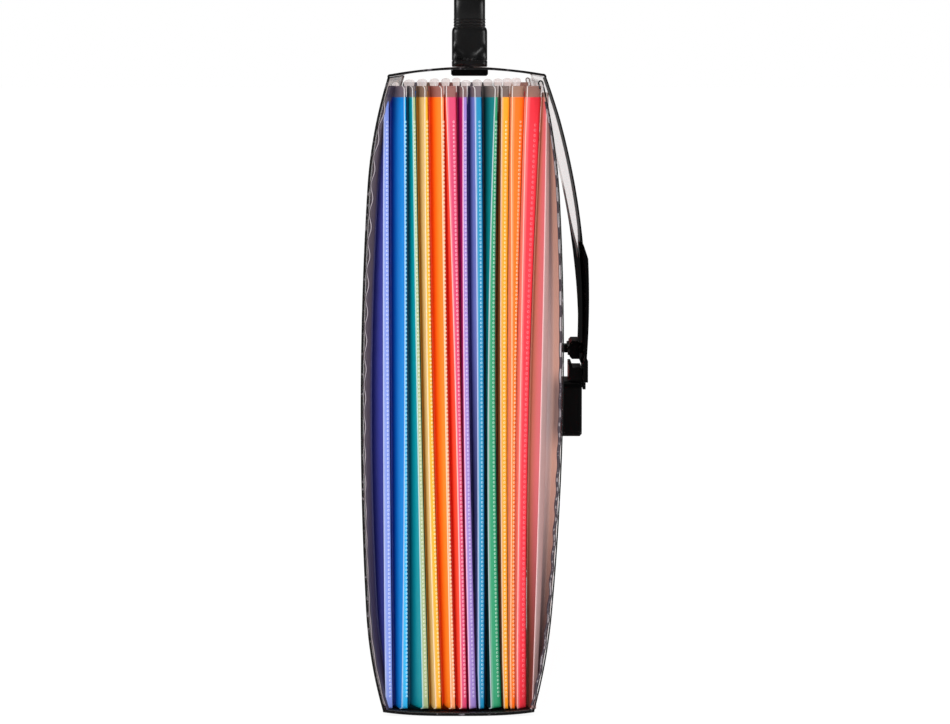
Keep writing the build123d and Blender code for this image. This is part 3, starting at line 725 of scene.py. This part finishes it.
def welds(number):
    """A row of weld spots down each flange: rings of eight points on its slant, rim high, middle sunk."""
    step, radius, paleness = LAST_WELD_ROW if number == DIVIDERS - 1 else WELD_ROW
    height = np.arange(WELD_FOOT, WELD_TOP, step)
    crest, end = bowed(CRESTS[number], height) + 0.2, bowed(FLANGE_ENDS[number], height)
    back = flange_y(number, height) - CREST_Y - 0.12
    slant = np.stack([end - crest, back, 0 * end], -1)
    slant /= np.linalg.norm(slant, axis=-1, keepdims=True)
    facing = np.stack([slant[:, 1], -slant[:, 0], slant[:, 2]], -1)
    share = WELD_SHARES[number]
    centre = np.stack([crest + (end - crest) * share, CREST_Y + 0.12 + back * share, height], -1)
    turn = np.linspace(0, 2 * np.pi, 9)[:-1]
    around = np.cos(turn)[:, None, None] * slant + np.sin(turn)[:, None, None] * np.array([0, 0, 1.0])
    reach, lift = np.array([1.0, 0.72, 0.3]), np.array([-0.05, 0.16, 0.03])
    reach, lift = radius * reach[None, :, None, None], lift[None, :, None, None]
    rings = centre + reach * around[:, None] + lift * facing
    grids = [rings[:, :, k] for k in range(len(height))]
    grids += [g[::-1] * (1, -1, 1) for g in grids]
    ring_v = np.broadcast_to(np.array([0.5, 1.0, 0.0]), (len(turn), 3))
    uv = [np.stack([0 * ring_v, ring_v], -1)] * len(grids)
    name, *_, tone, _, _ = PALETTE[number]
    pale = [(1 - paleness) * part + paleness * 255 for part in tone]
    finish = weld_dot(f"weld_{name}", srgb(*pale), srgb(*tone))
    made = piece(f"weld_row_{number + 1:02d}", grids, None, [finish], wrap=True, uv=uv)
    hold_gusset(made, number)


def wall_seam(name, path, offset, length, sway, radii, finish, body):
    """The wavy welded border of the film on a case wall: a thin round bead that follows the wall's arcs.

    Its distance from the wall's inner face is a sine of the height, whose swing goes from the first sway at
    the foot to the second at the top, and so does its radius. The offset's sign is the side of the skin.
    """
    height = np.linspace(4.0, 238.0, 500)
    reach = np.interp(height, (60, 170), sway)
    radius = np.interp(height, (150, 215), radii)
    swing = reach * (1 + np.sin(2 * np.pi * height / length))
    x = path_x(path, height) + offset + np.sign(offset) * (radius + swing)
    share = np.linspace(0, 1, 17)[:, None]
    turn = np.pi / 2 + 2 * np.pi * share
    y = WALL_Y - 0.5 + radius * np.sin(turn)
    near = np.stack(np.broadcast_arrays(x + radius * np.cos(turn), y, height), -1)
    uv = np.stack(np.broadcast_arrays(share, 0 * x), -1)
    made = piece(name, [near, near[::-1] * (1, -1, 1)], body, [finish], uv=[uv, uv[::-1]])


def divider(number):
    """A coloured divider: flat between the pleats, eased at each end towards the flange it is welded to."""
    low, high = box_mm(f"divider_{number:02d}")
    outer = np.linspace(DIVIDER_FLAT, 1, 12)
    along = np.concatenate([-outer[::-1], np.linspace(-DIVIDER_FLAT, DIVIDER_FLAT, 9)[1:-1], outer])
    y = DIVIDER_HALF_LENGTH * along
    y = np.sign(y) * np.minimum(np.abs(y), -flange_y(number - 1, 120.0) - 0.8)
    height = np.linspace(DIVIDER_FOOT + 0.6, COLOUR_TOP, 40)
    t = np.clip((np.abs(along) - DIVIDER_FLAT) / (1 - DIVIDER_FLAT), 0, 1)
    pull = t**2 * (3 - 2 * t)
    target = bowed(FLANGE_ENDS[number - 1], height) - 0.1
    middle = 0.5 * (low[0] + high[0])
    grid = np.empty((len(y), len(height), 3))
    grid[..., 0] = middle + pull[:, None] * (target - middle)
    grid[..., 1], grid[..., 2] = y[:, None], height
    slot = list(SHEETS)[(number - 1) % len(SHEETS)]
    finish = SHEET_FINISHES[slot]
    made = piece(f"divider_sheet_{number:02d}", [grid], f"leaf_{number:02d}", [finish], thick=DIVIDER_FILM)
    leaf_x(number) * MM
    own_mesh(made)
    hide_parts(f"divider_{number:02d}")


def index_tab(number):
    """A clear tab: a closed sleeve over the divider's top edge, swelling towards a flat round top.

    The first one stays slim, as it stands close to the back panel.
    """
    low, high = box_mm(f"index_tab_{number:02d}")
    middle = 0.5 * (low[0] + high[0])
    width, rise = (TAB_HALF_WIDTH, TAB_RISE) if number > 1 else (2 * TAB_LEG, 0.0)
    legs = np.linspace(low[2], high[2] + rise - TAB_ROUND, 9)
    half = TAB_LEG + (width - TAB_LEG) * np.linspace(0, 1, 9) ** 2
    turn = np.linspace(0, np.pi, 13)
    path = np.concatenate([
        np.stack([middle + half, legs], -1)[:-1],
        np.stack([middle + width * np.cos(turn), legs[-1] + TAB_ROUND * np.sin(turn)], -1),
        np.stack([middle - half, legs], -1)[::-1][1:],
    ])
    grid = extruded(path, np.linspace(low[1], high[1], 9))
    made = piece(f"index_sleeve_{number:02d}", [grid], f"leaf_{number:02d}", [TAB], wrap=True, capped=True)
    leaf_x(number) * MM
    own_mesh(made)
    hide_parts(f"index_tab_{number:02d}")


def grip():
    """The handle: a rounded-box section carried along a superellipse arch, with flex ribs above each lug.

    A rib is a bell curve of the height above the lug that swells the section by a few hundredths. A plain
    leg goes on down into each lug.
    """
    rise = GRIP_TOP - GRIP_THICK / 2 - LUG_TOP - FLEX_RISE
    foot = np.linspace(0.05, FLEX_RISE, 45)
    turn = np.linspace(0, np.pi, 60)[1:-1]
    arch_y = -LUG_Y * np.sign(np.cos(turn)) * np.abs(np.cos(turn)) ** ARCH_POWER
    arch_z = LUG_TOP + FLEX_RISE + rise * np.sin(turn) ** ARCH_POWER
    y = np.concatenate([0 * foot - LUG_Y, arch_y, 0 * foot + LUG_Y])
    z = np.concatenate([LUG_TOP + foot, arch_z, LUG_TOP + foot[::-1]])
    path = np.stack([0 * y + HANDLE_X, y, z], -1)
    along = np.gradient(path, axis=0)
    along /= np.linalg.norm(along, axis=1, keepdims=True)
    out = np.stack([along[:, 0], -along[:, 2], along[:, 1]], -1)
    height = np.concatenate([foot, 0 * turn + 20, foot[::-1]])
    rib = sum(np.exp(-(((height - level) / FLEX_SPREAD) ** 2)) for level in FLEX_LEVELS)
    size = 1 + FLEX_SWELL * rib
    section = rounded_box(GRIP_WIDTH / 2, GRIP_THICK / 2, 0.42, 48)
    spread = section[:, :1, None] * np.array([1.0, 0, 0]) + section[:, 1:, None] * out
    strap = path + size[None, :, None] * spread
    leg = rounded_box(LEG_WIDTH / 2, LEG_THICK / 2, 0.3, 48)
    deep = LUG_TOP + np.array([-LEG_DEPTH, 1.0])
    legs = [np.stack(np.broadcast_arrays(HANDLE_X + leg[:, :1], side * LUG_Y + leg[:, 1:], deep), -1)
            for side in (-1, 1)]
    made = piece("grip", [strap, *legs], "handle", [GLOSS_BLACK], wrap=True, capped=True)
    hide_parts("handle_grip")


def lugs():
    """The two lugs: a rounded-box section carried up from a wide foot.

    The half thickness sweeps out to the foot along a quarter circle, whose radius grows from the middle of
    the lug's width to its sides, and the top's edges are rounded over.
    """
    flange = LUG_FOOT + LUG_FLANGE_HEIGHT
    z = flange + (LUG_TOP - flange) * np.linspace(0, 1, 60) ** 1.4
    unit = rounded_box(1.0, 1.0, 0.34, 96)
    reach = LUG_SWEEP[0] + LUG_SWEEP[1] * np.abs(unit[:, :1]) ** 1.1
    sweep = reach * (1 - np.sqrt(1 - np.clip(1 - (z - flange) / reach, 0, 1) ** 2))
    over = np.clip((z - LUG_TOP + LUG_ROUND) / LUG_ROUND, 0, 1)
    rounding = 1 - np.sqrt(1 - 0.97 * over**2)
    half_x = LUG_WIDTH / 2 - 0.85 * rounding
    half_y = LUG_THICK / 2 + sweep - 0.9 * rounding - LUG_DRAFT * (z - flange)
    body = np.stack(np.broadcast_arrays(HANDLE_X + unit[:, :1] * half_x, unit[:, 1:] * half_y, z), -1)
    plate = rounded_box(LUG_WIDTH / 2, LUG_FLANGE / 2, 0.16, 96)
    level = LUG_FOOT + np.array([0.0, 0.35, LUG_FLANGE_HEIGHT - 0.35, LUG_FLANGE_HEIGHT])
    inset = np.array([0.3, 0.0, 0.0, 0.3])
    shrink = 1 - inset / np.array([[LUG_WIDTH / 2], [LUG_FLANGE / 2]])
    plate_x, plate_y = HANDLE_X + plate[:, :1] * shrink[0], plate[:, 1:] * shrink[1]
    foot = np.stack(np.broadcast_arrays(plate_x, plate_y, level), -1)
    shapes = [shape + (0, side * LUG_Y, 0) for side in (-1, 1) for shape in (body, foot)]
    made = piece("lugs", shapes, "lid", [GLOSS_BLACK], wrap=True, capped=True)
    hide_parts("handle_lugs")


def moulded(nodes, finish):
    """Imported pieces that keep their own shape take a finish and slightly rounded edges."""
    for name in nodes:
        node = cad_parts[name]
        node.data.materials.clear()
        node.data.materials.append(finish)
        edge = node.modifiers.new("rounded", "BEVEL")
        edge.width, edge.segments, edge.limit_method, edge.angle_limit = EDGE_ROUND * MM, 2, "ANGLE", 0.6


back_sheet()
bottom_sheet()
front_sheet()
lid_sheet()
flap_sheet()
crease("lid_crease", BACK_SKIN[4], LID_ARC[0], (-0.35, 0.35))
crease("flap_crease", LID_ARC[2], FLAP_CURVE[0], (0.35, 0.35))
for pocket in range(POCKETS):
    gusset(pocket)
for leaf in range(1, DIVIDERS + 1):
    welds(leaf - 1)
    divider(leaf)
    index_tab(leaf)
wall_seam("back_seam", BACK_PATH, SHEET, 11.0, (0.1, 0.5), BACK_SEAM_RADII, BACK_LINE, "case")
wall_seam("front_seam", FRONT_PATH, -FRONT_SHEET, 10.0, (0.25, 0.04), FRONT_SEAM_RADII, FRONT_LINE, "front")
grip()
lugs()
moulded(["latch_base", "latch_base_plate", "latch_clip", "latch_clip_block", "handle_keepers"], BLACK)
moulded(["latch_base_rivets", "latch_clip_rivets", "latch_stud", "handle_rivets"], RIVET)


def floor_finish():
    """White paper sweep: plain to the camera, and pale enough to carry the soft shadow."""
    made = Finish("paper_sweep")
    diffuse = made.node("BsdfDiffuse", inputs={"Color": (0.94, 0.94, 0.94, 1)})
    glow = made.node("Emission", inputs={"Color": (1, 1, 1, 1), "Strength": 1.12})
    seen = made.seen()
    shade = made.node("MixShader", inputs={0: 0.82 * seen, 1: diffuse, 2: glow})
    made.node("OutputMaterial", inputs={"Surface": shade})
    return made.material


def white_room():
    """The world: white to the camera, softer as a light, and dark in reflections, so black stays black."""
    made = Finish("white_room", bpy.data.worlds.new("white_room"))
    seen = made.seen()
    mirrored = made.node("LightPath", output="Is Glossy Ray")
    level = 0.55 + 0.45 * seen - 0.45 * mirrored
    shade = made.node("Background", inputs={"Color": (1, 1, 1, 1), "Strength": level})
    made.node("OutputWorld", inputs={"Surface": shade})
    return made.material


def stage():
    """A round white floor, a white world and three softboxes."""
    turn = np.linspace(0, 2 * np.pi, 97)[:-1]
    reach = np.array(FLOOR_RINGS) / MM
    x, y = np.cos(turn)[:, None] * reach, np.sin(turn)[:, None] * reach
    disc = np.stack(np.broadcast_arrays(x, y, -FLOOR_DROP / MM), -1)
    floor = piece("floor", [disc[::-1]], None, [floor_finish()], wrap=True)
    bpy.context.scene.world = white_room()
    softbox("key", (-0.9, -1.3, 0.9), 0.7, 10.4)
    softbox("fill", (1.0, -1.2, 0.6), 0.7, 6.0)
    softbox("top", (0.0, 0.2, 1.5), 0.9, 7.0)


def softbox(name, place, size, power):
    """A square area light aimed at the middle of the folder."""
    lamp = bpy.data.lights.new(name, "AREA")
    lamp.size, lamp.energy = size, power
    made = bpy.data.objects.new(name, lamp)
    made.location = place
    made.rotation_mode = "QUATERNION"
    made.rotation_quaternion = (Vector(FOLDER_MIDDLE) - Vector(place)).to_track_quat("-Z", "Y")
    bpy.context.scene.collection.objects.link(made)


def camera():
    """A long lens at the height of the lid, looking along the folder from its near end."""
    lens = bpy.data.cameras.new("camera")
    lens.lens, lens.sensor_width = LENS, 36.0
    lens.clip_start, lens.clip_end = 0.05, 100.0
    made = bpy.data.objects.new("camera", lens)
    made.location = CAMERA_PLACE
    aim = Vector(CAMERA_AIM) - made.location
    made.rotation_mode = "QUATERNION"
    made.rotation_quaternion = aim.to_track_quat("-Z", "Y")
    bpy.context.scene.collection.objects.link(made)
    bpy.context.scene.camera = made


stage()
camera()
bpy.context.scene.view_settings.view_transform = "Standard"
bpy.context.view_layer.update()
